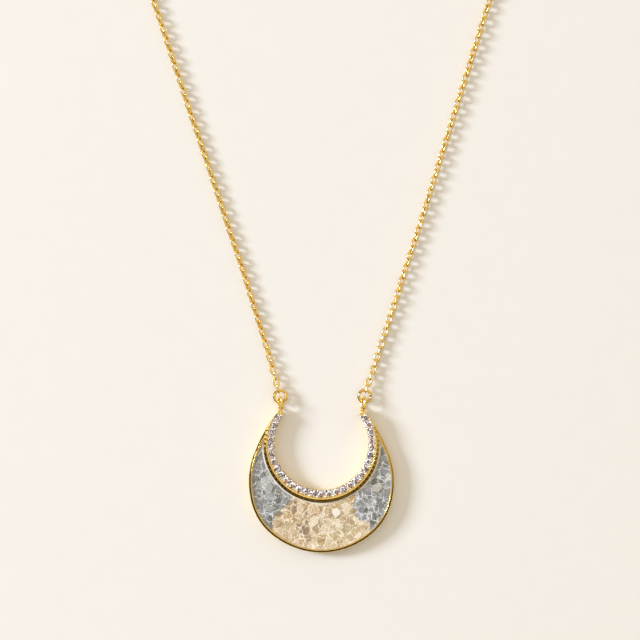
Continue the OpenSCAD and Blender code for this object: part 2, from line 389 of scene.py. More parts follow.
# %% Outer rim
edge_angle = np.linspace(*horn_to_horn, 520)
edge = around(edge_angle, outline_r(edge_angle, 0.002 * mm), 0 * mm)
inward = np.cross(UP, unit(np.gradient(edge, axis=0)))
bevel_h = 1.645 * mm
rim_section = rounded(
    [
        (0, 0),
        (rim_w, 0),
        (rim_w, rim_h - 0.1 * mm),
        (0.5 * mm, rim_h),
        (0.42 * mm, rim_h),
        (0, bevel_h),
    ],
    np.array([0.06, 0.06, 0.03, 0.03, 0.004, 0.08]) * mm,
)
lamp_side = math.radians(160)
filed_depth = 0.06 * mm


def near_lamp(angle, spread_deg):
    """How near an angle is to the lamp's side: one there, falling off along a bell curve."""
    return np.exp(-(((angle - lamp_side) / math.radians(spread_deg)) ** 2))


rim = carried(edge, inward, rim_section)
lower_side = np.isclose(rim_section[:, 0], 0, atol=0.1 * mm) & (rim_section[:, 1] > rim_h / 2)
rim[:, lower_side, 2] -= filed_depth * near_lamp(edge_angle, 22)[:, None]
make_piece("outer_rim", rim, skin(rim), gold_plate, ["crescent_setting"], crease=50)

# %% [markdown]
# ## The stone gallery
#
# Inside the crescent a raised gallery carries the stones: an inner wall, a channel floor, a ridge
# with a narrow bright crest, and a slope that falls to the inlay. It is one section turned about the
# open circle, with three changes worked out point by point. The ridge grows narrower towards the
# horns, and its slope keeps one steepness there, a little more on the side of the lamp. The section
# stops at the pendant's edge where the horns themselves grow narrow. Under each stone the floor sinks
# as a cone, because the setter opens a seat with a round bur before the stone goes in. The slope is
# filed by hand, so it carries strokes of 0.85 mm, which the satin mark makes matt in turn.

# %% Seats and gallery
seat_depth = 0.5 * mm
seat_mouth_r = stone_d / 2 + 0.05 * mm
seat_foot_r = 0.1 * mm
stone_angle = np.unwrap(np.arctan2(*(stone_centres[:, 1::-1] - open_centre[::-1]).T)) % (2 * math.pi)
stone_angle = np.where(stone_angle < math.pi / 2, stone_angle + 2 * math.pi, stone_angle)


def seat_sink(points):
    """How deep the floor sinks at each point: from nothing at the seat's mouth to the full depth at
    its foot, in step with the distance from the nearest stone's middle."""
    offsets = points[..., None, :2] - stone_centres[:, :2]
    nearest = np.sqrt((offsets**2).sum(axis=-1)).min(axis=-1)
    return seat_depth * np.clip((seat_mouth_r - nearest) / (seat_mouth_r - seat_foot_r), 0, 1)


gallery_angle = np.linspace(*horn_to_horn, 620)
floor_steps = np.linspace(inner_r + 0.05 * mm, channel_wall_r, 15)
plate_joint_r = 11.1 * mm
slope_foot_r = rail_foot_r - 0.01 * mm
slope_foot_h = 1.86 * mm
outside = rounded(
    [
        (inner_r, 0),
        (plate_joint_r, 0),
        (plate_joint_r, back_t / 2),
        (rail_foot_r, back_t / 2),
        (rail_foot_r, back_t + 0.04 * mm),
        (slope_foot_r, slope_foot_h),
        (slope_foot_r - 0.05 * mm, 1.904 * mm),
        (crest_r, crest_h),
        (crest_r - crest_w, crest_h),
        (channel_wall_r, 2.12 * mm),
    ],
    np.array([0.05, 0.02, 0.02, 0.02, 0.01, 0.015, 0.01, 0.012, 0.04, 0.04]) * mm,
)
floor = np.stack([floor_steps[::-1], np.full(len(floor_steps), floor_h)], axis=-1)
gallery_section = np.vstack([outside, floor, [(inner_r, floor_h - 0.05 * mm)]])
section_r, section_h = gallery_section.T[:, None]
ridge_w = rail_foot_r - channel_wall_r
ridge_share = (rail_foot(gallery_angle[:, None]) - channel_wall_r) / ridge_w


def on_narrow_ridge(radius):
    """Where a radius of the broad ridge lies on the narrow one: its share of the broad width, to the
    power of one over the narrow ridge's share, so that the crest moves inwards faster than the foot."""
    across_share = np.clip((radius - channel_wall_r) / ridge_w, 0, 1)
    return channel_wall_r + ridge_w * ridge_share * across_share ** (1 / ridge_share)


# %% The filed slope, the seats and their marks
stroke_pitch = 0.85 * mm
stroke_depth = 0.02 * mm
# Shares of the broad ridge's steepness: all round, and added on the side of the lamp
slope_share, lamp_slope_share = 0.9, 0.25
# How matt the slope is: at the ends of the crescent, on its flanks, and in a stroke of the file
end_satin, flank_satin, stroke_satin = 0.6, 0.45, 0.55
lamp_polish = 0.2
on_ridge = (section_r > channel_wall_r) & (section_h > back_t)
gallery_r = np.where(on_ridge, on_narrow_ridge(section_r), section_r)
steepness = (crest_h - slope_foot_h) / (slope_foot_r - crest_r)
on_slope = (section_r > crest_r) & (section_h > back_t + 0.5 * mm)
lamp_share = near_lamp(gallery_angle[:, None], 40)
slope_r = gallery_r - on_narrow_ridge(crest_r)
slope_drop = slope_r * steepness * (slope_share + lamp_slope_share * lamp_share)
gallery_h = np.where(on_slope, crest_h - slope_drop, section_h)
file_stroke = np.sin(2 * math.pi * crest_r / stroke_pitch * gallery_angle)[:, None]
on_flank = np.cos(gallery_angle)[:, None] ** 2
slope_part = np.where(on_slope, (section_r - crest_r) / (slope_foot_r - crest_r), 0)
gallery_h = gallery_h + stroke_depth * file_stroke * on_flank * slope_part
metal_r = outline_r(gallery_angle, 0.03 * mm)[:, None]
gallery = around(gallery_angle[:, None], np.minimum(gallery_r, metal_r), gallery_h)
floor_columns = slice(len(outside), len(outside) + len(floor_steps))
gallery[:, floor_columns, 2] -= seat_sink(gallery[:, floor_columns])
# The seat floor between the end stones gets the paler metal mark.
floor_mark = np.zeros(gallery.shape[:2] + (4,))
between_ends = (gallery_angle > stone_angle.min()) & (gallery_angle < stone_angle.max())
floor_mark[between_ends, floor_columns] = 1
satin = end_satin * (1 - on_flank) + on_flank * (flank_satin + stroke_satin * file_stroke)
satin = (slope_part > 0) * (satin * (1 - lamp_share) - lamp_polish * lamp_share)
satin_mark = np.repeat(satin.reshape(-1, 1), 4, axis=1)
marks = {"pale_metal": floor_mark.reshape(-1, 4), "satin": satin_mark}
setting = ["crescent_setting"]
make_piece("stone_gallery", gallery, skin(gallery), gold_plate, setting, 35, marks)

# %% [markdown]
# ## The back plate
#
# The plate closes the back of the crescent and carries the inlay. It is flat, so its section is
# the same slab everywhere, only stretched between the gallery's foot and the rim. Its lower edges
# are eased a little, because a pendant that lies on skin has no sharp edge.

# %% Back plate
plate_angle = np.linspace(*horn_to_horn, 260)[:, None]
plate_out_r = outline_r(plate_angle[:, 0], 0.04 * mm)[:, None]
plate_in_r = np.minimum(plate_joint_r - 0.02 * mm, plate_out_r - 0.3 * mm)
ease = 0.06 * mm
plate_radii = np.hstack([plate_in_r, plate_in_r, plate_out_r, plate_out_r, plate_out_r - ease])
plate_heights = np.array([0, back_t, back_t, ease, 0])
plate = around(plate_angle, plate_radii, plate_heights)
make_piece("back_plate", plate, skin(plate), gold_plate, setting, crease=30)

# %% [markdown]
# ## Bead prongs
#
# Each pair of stones shares two beads of metal, one on either side of the row, raised with a
# graver and rounded with a cupped tool. Sixty of them would be slow to place by hand, so one bead
# is turned as a short profile, and the array of its points is added to the array of places.

# %% Bead prongs
prong_d = 0.4 * mm
prong_offset = 0.52 * mm


def turned(profile, sides):
    """A profile of radius and height turned about Z: each row is a circle of that radius."""
    turn = np.linspace(0, 2 * math.pi, sides, endpoint=False)
    circle = np.stack([np.cos(turn), np.sin(turn), 0 * turn], axis=-1)
    return profile[:, :1, None] * circle[None] + profile[:, 1:, None] * UP


bead_profile = np.array([(1, -1.1), (1, 0.4), (0.9, 0.85), (0.62, 1.2), (0.22, 1.38)]) * prong_d / 2
bead = turned(bead_profile, 10)
stone_step = np.diff(stone_angle).mean()
prong_angle = np.append(stone_angle - stone_step / 2, stone_angle[-1] + stone_step / 2)
prong_places = np.concatenate(
    [around(prong_angle, row_r + side * prong_offset, floor_h) for side in (-1, 1)]
)
prongs = prong_places[:, None] + bead.reshape(1, -1, 3)
prong_faces = moved_on(skin(bead), prongs.shape[1], len(prongs))
# The beads' paler metal is a painted highlight, for the glint of each polished bead.
marks = {"pale_metal": np.ones((prongs.size // 3, 4))}
make_piece("bead_prongs", prongs, prong_faces, gold_plate, setting, 60, marks)

# %% [markdown]
# ## The eyelets
#
# A loop of wire is soldered on edge to the end of each horn, so that a ring can hang in it. It leans
# over a little, so that from the front its two sides lie beside each other with a dark slot between
# them. A wire loop is a section carried round a closed path: the section is spanned by the loop's
# own normal and by the direction that points out of the loop, so it never twists. The solder joint
# is a small drop that runs from the horn into the loop.

# %% Wire loops
def wire(path, normal, section, ring=True):
    """A wire whose middle line is a path in a plane: the section's first number goes along the path's
    direction crossed with the plane's normal, and its second along the normal. In a ring the last
    point is followed by the first."""
    ahead = np.roll(path, -1, axis=0) - np.roll(path, 1, axis=0) if ring else np.gradient(path, axis=0)
    normal = np.asarray(normal, float)
    return carried(path, unit(np.cross(ahead, normal)), section, up=normal)


def round_section(diameter, sides):
    """Points of a circle about the origin."""
    turn = np.linspace(0, 2 * math.pi, sides, endpoint=False)
    return diameter / 2 * np.stack([np.cos(turn), np.sin(turn)], axis=-1)


def long_loop(width, length, steps):
    """The middle line of a long round-ended loop in the plane, its length along the second number:
    a circle as wide as the loop, its upper half moved up and its lower half moved down."""
    turn = (np.arange(steps) + 0.5) * 2 * math.pi / steps
    x = width / 2 * np.cos(turn)
    y = width / 2 * np.sin(turn) + (length - width) / 2 * np.sign(np.sin(turn))
    return np.stack([x, y], axis=-1)


# %% Eyelets with their solder drops
eyelet_wire = 0.5 * mm
eyelet_h = 2.22 * mm
eyelet_len = 2.95 * mm
eyelet_z = 1.15 * mm
eyelet_roll = math.radians(21)
knob_r = 0.5 * mm
eyelet_gap = 0.31 * mm
drop_profile = np.array([
    (0.25, -1.0), (0.62, -0.8), (0.92, -0.35), (1.0, 0.1),
    (0.88, 0.55), (0.68, 0.95), (0.5, 1.3), (0.2, 1.5),
])
for side, name, lean_deg in ((-1, "left", 2), (1, "right", 7)):
    foot = around(math.pi / 2 - side * (math.pi / 2 - horn_end), row_r, eyelet_z)
    lean = math.radians(side * lean_deg)
    outward = np.array([math.sin(lean), math.cos(lean), 0])
    sideways = np.cross(outward, UP)
    loop_up = math.cos(eyelet_roll) * UP + math.sin(eyelet_roll) * sideways
    middle = foot + outward * (eyelet_len / 2 + eyelet_gap)
    line = long_loop(eyelet_h - eyelet_wire, eyelet_len - eyelet_wire, 48)
    path = middle + line[:, :1] * loop_up + line[:, 1:] * outward
    loop = wire(path, np.cross(loop_up, outward), round_section(eyelet_wire, 20))
    drop = turned(drop_profile * knob_r, 24) @ np.stack([sideways, UP, outward])
    points = np.concatenate([loop.reshape(-1, 3), (foot + drop).reshape(-1, 3)])
    faces = skin(loop, ring=True) + moved_on(skin(drop), 0, 1, loop.size // 3)
    make_piece(f"{name}_eyelet", points, faces, gold_plate, setting, crease=60)

# %% [markdown]
# ## Jump rings, end ring and clasp
#
# A jump ring is cut from a coil of wire, so it has a fine butt seam where its two ends meet. The
# wire is carried almost all the way round, and the two flat ends face each other across a gap of
# two hundredths of a millimetre. Dark streaks run along the real wire. A round section mirrors the
# whole room and blurs them, so this one has four broad slants between four narrow flats, and those
# that look towards the dark front of the room show as brown streaks. The end ring and the clasp are
# out of the picture, behind the neck, so they are plain round wire.

# %% Jump rings
def ring_line(middle, diameter, first_axis, second_axis, turn):
    """Points of a circle: its middle, plus its radius times the cosine along one axis and the sine
    along the other."""
    radius = diameter / 2
    return middle + radius * (np.cos(turn)[:, None] * first_axis + np.sin(turn)[:, None] * second_axis)


ring_wire = 0.55 * mm
flat, slant, shoulder = ring_wire / 2, 0.05 * mm, 0.065 * mm
ring_section = rounded(
    [(flat, -shoulder), (flat, shoulder), (slant, flat), (-slant, flat),
     (-flat, shoulder), (-flat, -shoulder), (-slant, -flat), (slant, -flat)],
    0.01 * mm,
    steps=3,
)
ring_middles = {side: node_box(f"jump_ring_{side}").mean(axis=0) for side in ("left", "right")}
ring_od = np.ptp(node_box("jump_ring_left")[:, 0])
EAST, NORTH = np.array([1.0, 0, 0]), np.array([0, 1.0, 0])
seam_gap = 0.02 * mm
for side, seam_deg in (("left", 205), ("right", -28)):
    half_gap = seam_gap / (ring_od - ring_wire)
    seam = math.radians(seam_deg)
    turn = np.linspace(seam + half_gap, seam + 2 * math.pi - half_gap, 97)
    line = ring_line(ring_middles[side], ring_od - ring_wire, EAST, NORTH, turn)
    ring = wire(line, UP, ring_section, ring=False)
    replaced = [f"jump_ring_{side}"]
    make_piece(f"{side}_jump_ring", ring, skin(ring), gold_plate, replaced, crease=60)

# %% End ring and clasp
end_wire = 0.42 * mm
clasp_wire = 1 * mm
full_turn = np.linspace(0, 2 * math.pi, 64, endpoint=False)
end_box = node_box("end_ring")
end_od = np.ptp(end_box[:, 0])
clasp_box = node_box("clasp")
clasp_od = np.ptp(clasp_box[:, 1])
clasp_middle = np.array([clasp_box[0, 0] + clasp_od / 2, *clasp_box.mean(axis=0)[1:]])
loop_middle = np.array([clasp_box[1, 0] - end_od / 2, *clasp_box.mean(axis=0)[1:]])
plain_rings = (
    ("chain_end_ring", "end_ring", end_box.mean(axis=0), end_od, end_wire, UP, NORTH, 14),
    ("clasp_ring", "clasp", clasp_middle, clasp_od, clasp_wire, NORTH, UP, 20),
    ("clasp_loop", "clasp", loop_middle, end_od, end_wire, UP, NORTH, 14),
)
for name, node, middle, diameter, thickness, second_axis, normal, sides in plain_rings:
    line = ring_line(middle, diameter - thickness, EAST, second_axis, full_turn)
    ring = wire(line, normal, round_section(thickness, sides))
    make_piece(name, ring, skin(ring, ring=True), gold_plate, [node])

# %% [markdown]
# ## The cable chain
#
# A cable chain is a row of equal oval links, each turned a quarter against the last. The links of
# a chain that lies on a table are never quite flat or quite on edge: the whole chain rolls a
# little, and the roll wanders along its length. At the right ring the first links aren't rolled yet.
# How far a link reaches down depends on its roll, and that sets how high its middle lies. Each link
# is a coarse loop of wire, because there are more than three hundred, and all are placed in one go:
# arrays of middles, of directions and of roll angles turn one loop into a whole chain.

# %% The route of each chain
# Points of the chains' middle lines, as in the part's source, in mm from the outer circle's centre:
# x to the right, y towards the clasp. Heights are above the surface. The two runs mirror each other
# where they are out of the picture.
near_routes = {
    "left": [
        (-8.5, 17.9), (-9.5, 21.8), (-10.6, 25.7), (-13, 33.4), (-15.4, 41.2), (-18, 48.9),
        (-21.8, 60.5), (-25.7, 72.1), (-29.5, 83.7),
    ],
    "right": [
        (8.8, 17.9), (10.2, 21.8), (11.4, 25.7), (13.9, 33.4), (16.4, 41.2), (18.9, 48.9),
        (22.5, 60.5), (26.1, 72.1), (29.7, 83.7),
    ],
}
far_route = [
    (32.6, 93), (37.5, 107.5), (42.5, 122.5), (46.9, 136.5), (49.5, 152), (46.5, 169),
    (37.9, 183.8), (24.7, 194.9),
]
route_ends = {"left": [(-10, 200.5), (-1.7, 201.5)], "right": [(14, 199.6), (7.8, 201.2)]}
route_h = 0.7
heights = [1.1, 0.75] + [route_h] * 15 + [0.75, 1.3]


def chain_route(side):
    """All points of one run: the part in the picture, the far part, mirrored for the left run, and
    the last two, each with its height."""
    mirror = -1 if side == "left" else 1
    plan = near_routes[side] + [(mirror * x, y) for x, y in far_route] + route_ends[side]
    return [(x, y, z) for (x, y), z in zip(plan, heights)]


def smooth_line(points, steps):
    """A smooth curve through points: between two of them, a cubic whose slope at each is half the
    step from its neighbour on one side to its neighbour on the other."""
    around_each = np.vstack([2 * points[0] - points[1], points, 2 * points[-1] - points[-2]])
    p0, p1, p2, p3 = (around_each[k:len(points) - 1 + k, None] for k in range(4))
    t = np.linspace(0, 1, steps, endpoint=False)[None, :, None]
    curve = (2 * p1 + (p2 - p0) * t + (2 * p0 - 5 * p1 + 4 * p2 - p3) * t**2
             + (3 * p1 - 3 * p2 + p3 - p0) * t**3) / 2
    return np.vstack([curve.reshape(-1, 3), points[-1:]])


# %% Chain links
link_pitch = 1.286 * mm
link_wire = 0.38 * mm
link_length = link_pitch + 2 * link_wire + 0.02 * mm
link_width = 1.33 * mm
half_link = (link_length - link_wire) / 2
link_reach = (link_width - link_wire) / 2
surface_gap = 0.01 * mm
rolled_links, lifted_links = 12, 4
wander_deg, wander_waves, loose_deg = 6, 3.5, 3
roll_change_from, roll_change_over = 0.45, 0.5


def chain_line(route, ring_at, ring_end, clasp_end):
    """The line through the links' middles. It starts where the first link's end meets the inner side
    of the jump ring, follows the route, and ends where the last link's end meets the far ring."""
    points = np.array(route) * mm + [*outer_centre, 0]
    leaving = unit(points[0] - ring_at)
    first = ring_at + leaving * (ring_end + half_link)
    return smooth_line(np.vstack([first, points[1:-1], clasp_end]), 60)


def linked_chain(line, flat_links, roll_start_deg, roll_end_deg, seed):
    """Links along a line: middles at equal steps of its length, each link's long axis along the line,
    its plane turned by the roll there, and every other link by a quarter turn more. The first links
    aren't rolled yet, and the roll grows over the next twelve. Every middle is lowered until its link
    nearly touches the surface, but for the few at each end that hang in a ring."""
    lengths = np.append(0, np.cumsum(np.linalg.norm(np.diff(line, axis=0), axis=1)))
    count = round(lengths[-1] / link_pitch) + 1
    station = np.linspace(0, lengths[-1], count)
    middles = np.stack([np.interp(station, lengths, line[:, axis]) for axis in range(3)], axis=-1)
    number = np.arange(count)
    share = number / (count - 1)
    random = np.random.default_rng(seed)
    phase = 2 * math.pi * (wander_waves * share + random.uniform())
    wander = wander_deg * np.sin(phase) * np.sin(math.pi * share)
    loose = random.normal(0, loose_deg, count) * np.sin(math.pi * share)
    turned_share = np.clip((share - roll_change_from) / roll_change_over, 0, 1)
    settled_roll = roll_start_deg + (roll_end_deg - roll_start_deg) * turned_share
    rolled_share = np.clip((number - flat_links) / rolled_links, 0, 1)
    roll = np.radians(settled_roll * rolled_share + wander + loose)
    rest_h = link_reach * np.maximum(np.abs(np.sin(roll)), np.abs(np.cos(roll))) + link_wire / 2
    laid_down = np.clip(np.minimum(number, number[::-1]) / lifted_links, 0, 1)
    middles[:, 2] -= (route_h * mm - rest_h - surface_gap) * laid_down
    ahead = unit(np.gradient(middles, axis=0))
    flat_side = unit(np.cross(ahead, UP))
    upright = np.cross(flat_side, ahead)
    roll = roll + math.pi / 2 * ((number + 1) % 2)
    across = np.cos(roll)[:, None] * flat_side + np.sin(roll)[:, None] * upright
    normal = np.cross(across, ahead)
    oval = long_loop(link_width - link_wire, link_length - link_wire, 12)
    link = wire(np.pad(oval, ((0, 0), (0, 1))), UP, round_section(link_wire, 6)).reshape(-1, 3)
    frames = np.stack([across, ahead, normal], axis=1)
    points = middles[:, None, :] + np.einsum("pk,nkc->npc", link, frames)
    return points, middles


single_link = skin(np.zeros((12, 6, 3)), ring=True)
ring_inner = (ring_od - ring_wire) / 2 - (ring_wire + link_wire) / 2
end_reach = (end_od - end_wire) / 2 - (end_wire + link_wire) / 2
left_end = end_box.mean(axis=0) - EAST * (end_reach + half_link)
right_end = loop_middle + EAST * (end_reach + half_link)
chains = {"left": (left_end, -3, -40, -4, 3), "right": (right_end, 9, -30, 0, 8)}
for side, (far_end, flat_links, roll_start, roll_end, seed) in chains.items():
    line = chain_line(chain_route(side), ring_middles[side], ring_inner, far_end)
    points, middles = linked_chain(line, flat_links, roll_start, roll_end, seed)
    faces = moved_on(single_link, points.shape[1], len(middles))
    replaced = [f"chain_{side}"]
    make_piece(f"{side}_chain_links", points, faces, drawn_gold, replaced)
    lowest = points[..., 2].min() / mm
    print(f"The {side} chain has {len(middles)} links, lowest point {lowest:.2f} mm")

# %% [markdown]
# ## Cubic zirconia
#
# The small clear stones of plated jewellery are cubic zirconia, cut as round brilliants and
# polished like glass. Its refractive index is about 2.16, so light that enters the crown bounces
# off the pavilion and comes back as hard white flashes, while other facets look dark or show the
# gold under them. A clear shader would find those paths, but a stone is six pixels wide here, and
# the flashes would blur to grey. So that light is painted on each facet as a tint: white and lilac
# as painted flashes, slate as painted dim reflection, dark and amber as painted dark and gold
# reflections. A little light still passes through, and the high index adds the gloss.

# %% Cubic zirconia
def zirconia_with_painted_facets():
    """The facets' painted flashes and reflections as the body colour, a trace of cloudiness under the
    polish, and a haze that the lap leaves, a tenth of a millimetre wide."""
    material, tree, shader, place = new_material("cut_cubic_zirconia")
    # The tint mark holds painted light: the flash or reflection that each facet would return.
    facet = add_node(tree, "Attribute", {"attribute_name": "tint"})
    lap = add_node(tree, "TexNoise", {"Scale": repeats(0.1 * mm), "Detail": 2.0}, {"Vector": place})
    haze = add_node(
        tree,
        "MapRange",
        {"From Min": 0.4, "From Max": 0.8, "To Min": 0.02, "To Max": 0.1},
        {"Value": lap},
    )
    settings = {"IOR": 2.16, "Transmission Weight": 0.06}
    set_up(shader, settings, {"Base Color": facet, "Roughness": haze})
    return material


zirconia = zirconia_with_painted_facets()

# %% [markdown]
# ## The brilliants
#
# A round brilliant has a table, eight kites, eight stars and sixteen upper halves above the
# girdle, and eight mains and sixteen lower halves below it. All of that follows from a few shares
# of the diameter. The tips of the stars lie in the planes of the kites, and the tips of the lower
# halves in the planes of the mains, so two slopes settle every height. Through the table one sees
# the mains as a star, so the flat table is cut into eight wedges inside a ring of eight more, which
# carry their painted light. One stone is cut once and set twenty-nine times, each turned to its own
# place round the open circle and leaning by a few degrees, as hand-set stones do. The stones at the
# bottom of the row have their painted warm reflection further out than the others.

# %% The cut of one stone
def brilliant(d):
    """Corner points and faces of a round brilliant with its girdle's middle at the origin. Heights on
    the crown follow girdle plus slope times distance from the edge along the kite's own direction,
    and those of the pavilion follow the mains in the same way from the point up."""
    r, table_r, star_r, half_r = d / 2, 0.56 * d / 2, 0.77 * d / 2, 0.24 * d / 2
    core_r = 0.27 * d / 2
    half_girdle, crown, pavilion = 0.025 * d, 0.15 * d, 0.4 * d
    half_step = math.cos(math.pi / 8)
    star_z = half_girdle + (r - star_r * half_step) * crown / (r - table_r)
    half_z = -half_girdle - pavilion * (1 - half_r * half_step / r)

    def circle(count, radius, z, first=0.0):
        turn = 2 * math.pi * (np.arange(count) + first) / count
        return np.stack([radius * np.cos(turn), radius * np.sin(turn), np.full(count, z)], axis=-1)

    points = np.vstack([
        circle(8, table_r, half_girdle + crown),
        circle(8, star_r, star_z, 0.5),
        circle(16, r, half_girdle),
        circle(16, r, -half_girdle),
        circle(8, half_r, half_z, 0.5),
        [(0, 0, -half_girdle - pavilion), (0, 0, half_girdle + crown)],
        circle(8, core_r, half_girdle + crown),
    ])
    k = np.arange(8)
    on, before, onward = k, (k + 7) % 8, (k + 1) % 8
    table, star, upper, lower, half, core = 0, 8, 16, 32, 48, 58
    point, middle = 56 + 0 * k, 57 + 0 * k
    even, odd, after = 2 * k, 2 * k + 1, (2 * k + 2) % 16
    faces = []
    for columns in (
        (middle, core + on, core + onward),
        (core + on, table + on, table + onward, core + onward),
        (table + on, star + before, upper + even, star + on),
        (table + on, star + on, table + onward),
        (star + on, upper + even, upper + odd),
        (star + on, upper + odd, upper + after),
        (upper + even, lower + even, lower + odd, upper + odd),
        (upper + odd, lower + odd, lower + after, upper + after),
        (half + before, point, half + on, lower + even),
        (half + on, lower + odd, lower + even),
        (half + on, lower + after, lower + odd),
    ):
        faces += np.stack(columns, axis=-1).tolist()
    return points, faces


# %% What each facet returns, painted as tints
# These tints are painted light: white and lilac flashes, grey and dark reflections, and amber
# reflections of the gold.
flashes = ["#ffffff", "#f5f2ff", "#dcd8ee"]
greys = ["#b9b3c2", "#8f8a97"]
painted_dark_reflections = ["#1b1618", "#3d2c22", "#7c4c1c", "#d98a2e"]
painted_facet_light = np.array([linear(tint) for tint in flashes + greys + painted_dark_reflections])
bright_odds = [9, 4, 2, 1.5, 1.2, 1.6, 1.2, 0.5, 0.5]
deep_odds = [1.5, 0, 0, 0.5, 1, 6, 4, 2, 0.5]
ember_odds = [1, 0, 0, 0, 0.5, 0.5, 1.5, 3, 6]
ember_edge, deep_edge = 0.2, 0.56
spot_shift = 0.3
stone_lean = math.radians(3)


def painted_stone_light(random, points, faces, shift):
    """A painted tint for each facet, the light it would return, repeated for its corners. A spot of the
    crown, shifted outwards from the stone's middle, picks from the warm tints, painted reflections of
    the gold, a ring about it from the dark ones, painted dark reflections, and all other facets from
    the bright ones, painted flashes."""
    middles = np.array([points[face].mean(axis=0) for face in faces]) / (stone_d / 2)
    distance = np.where(middles[:, 2] > 0, np.hypot(middles[:, 0] - shift, middles[:, 1]), 1)
    zone = np.digitize(distance, [ember_edge, deep_edge])
    odds = np.array([ember_odds, deep_odds, bright_odds])
    picks = [random.choice(len(painted_facet_light), len(faces), p=row / row.sum()) for row in odds]
    return painted_facet_light[np.repeat(np.choose(zone, picks), [len(face) for face in faces])]


# %% Set the stones
cut_points, cut_faces = brilliant(stone_d)
girdle_z = floor_h + 0.06 * mm
random = np.random.default_rng(5)
for name, angle in zip(stone_names, stone_angle):
    cosine, sine = math.cos(angle), math.sin(angle)
    lean = random.normal(0, stone_lean, 2)
    tilted = unit(np.array([[1, 0, lean[0]], [0, 1, lean[1]], [-lean[0], -lean[1], 1]]))
    turn = np.array([[cosine, sine, 0], [-sine, cosine, 0], [0, 0, 1]])
    points = cut_points @ tilted @ turn + around(angle, row_r, girdle_z)
    # At the bottom of the row the painted warm reflection is shifted further out.
    shift = spot_shift * max(0, -sine)
    marks = {"tint": painted_stone_light(random, cut_points, cut_faces, shift)}
    number = name.split("_")[1]
    make_piece(f"zirconia_{number}", points, cut_faces, zirconia, [name], 0, marks)

# %% [markdown]
# ## The crushed-chip inlay
#
# The crescent is filled with crushed shell set in clear resin: grey at both sides and champagne in
# the middle. The chips are thin, angular and up to about three millimetres across. They lie over each
# other at slight angles, and each broken edge is painted paler on one side, a painted highlight, and
# darker on the other, a painted shade.
# The resin climbs a little at the metal, where it leaves a white line along the rail and a bluish
# one along the rim. A flat surface with a cell pattern would look printed, so each field is a bed of
# resin, worked out as a grid between its two seams, and three layers of real chips on it.

# %% The fields and their seams
bed_low = back_t + fit_gap
bed_top = 1.6 * mm
seam_left = np.array([
    (-5.6, -1.2), (-6.1, -3), (-5.8, -4.3), (-7.6, -5.5), (-9.6, -6.9), (-9.4, -9.2), (-9.9, -14),
]) * mm
seam_right = np.array([
    (4.6, -1.6), (5.7, -3.4), (6.6, -5.5), (6.5, -6.8), (8.1, -7.6), (9.1, -9.2), (10.3, -14),
]) * mm


def polar(points):
    """Angle from 90 to 450 degrees and radius about the open circle's centre."""
    offset = points - open_centre
    angle = np.arctan2(offset[..., 1], offset[..., 0])
    return np.where(angle < math.pi / 2, angle + 2 * math.pi, angle), np.linalg.norm(offset, axis=-1)


def pocket_r(angle, rail_inset, rim_inset):
    """Inner and outer radius of the pocket between rail and rim, drawn in by an inset from each."""
    return rail_foot(angle) + rail_inset, outline_r(angle, rim_w + rim_inset)


def seam_angle(seam, share):
    """Angle of a seam where it is a share of the way from the rail to the rim."""
    angle, radius = polar(seam + outer_centre)
    low, high = pocket_r(angle, 0, 0)
    return np.interp(share, (radius - low) / (high - low), angle)


def field_ends():
    """Angles at which the pocket grows too narrow to hold an inlay, at the left and right horn."""
    angle = np.linspace(*horn_to_horn, 4001)
    low, high = pocket_r(angle, fit_gap, fit_gap)
    wide = angle[high > low + 0.08 * mm]
    return wide[0], wide[-1]


pocket_start, pocket_end = field_ends()
across = (1 - np.cos(np.linspace(0, math.pi, 27))) / 2
left_seam, right_seam = seam_angle(seam_left, across), seam_angle(seam_right, across)
half_seam = fit_gap / 2 / (12 * mm)
fields = {
    "left_grey_chips": (pocket_start + 0 * across, left_seam - half_seam),
    "champagne_chips": (left_seam + half_seam, right_seam - half_seam),
    "right_grey_chips": (right_seam + half_seam, pocket_end + 0 * across),
}
print("The pocket runs from", round(math.degrees(pocket_start)), "to", round(math.degrees(pocket_end)))


# %% The resin bed of one field
def mixed(first, second, share):
    """Two colours mixed: the first times one minus the share, plus the second times the share."""
    share = np.asarray(share)[..., None]
    return first * (1 - share) + second * share


def resin_bed(first, last, steps, bed_colour, rail_colour, rim_colour):
    """A closed slab over the two parameters along and across: the angle runs from the field's first
    seam to its last, the radius from rail to rim. Its top climbs at both walls as resin does, by a
    height that falls off exponentially with the distance from the metal, and its colour goes over
    into the resin's own there, along a bell curve of that distance. Its second half is the
    underside, in the opposite order, so that a row is a closed ring."""
    along = np.linspace(0, 1, steps)[:, None]
    angle = first + along * (last - first)
    low, high = pocket_r(angle, fit_gap, fit_gap)
    radius = low + across * (high - low)
    wall = np.minimum(radius - low, high - radius)
    top = around(angle, radius, bed_top + 0.08 * mm * np.exp(-wall / (0.16 * mm)))
    under = around(angle, radius, bed_low)[:, ::-1]
    line_w = (0.28 + 0.06 * np.sin(7 * angle)) * mm
    colour = mixed(bed_colour, rail_colour, np.exp(-(((radius - low) / line_w) ** 4)))
    colour = mixed(colour, rim_colour, np.exp(-(((high - radius) / (0.28 * mm)) ** 2)))
    return np.concatenate([top, under], axis=1), np.concatenate([colour, colour[:, ::-1]], axis=1)


def bed_faces(grid):
    """Ring quads between the rows, and at both ends quads between the top and the underside."""
    rows, columns = grid.shape[:2]
    quads = grid_quads(rows, columns, close_rows=False)
    k = np.arange(columns // 2 - 1)
    end = np.stack([k, k + 1, columns - 2 - k, columns - 1 - k], axis=-1)
    return np.vstack([quads, end, end[:, ::-1] + (rows - 1) * columns])


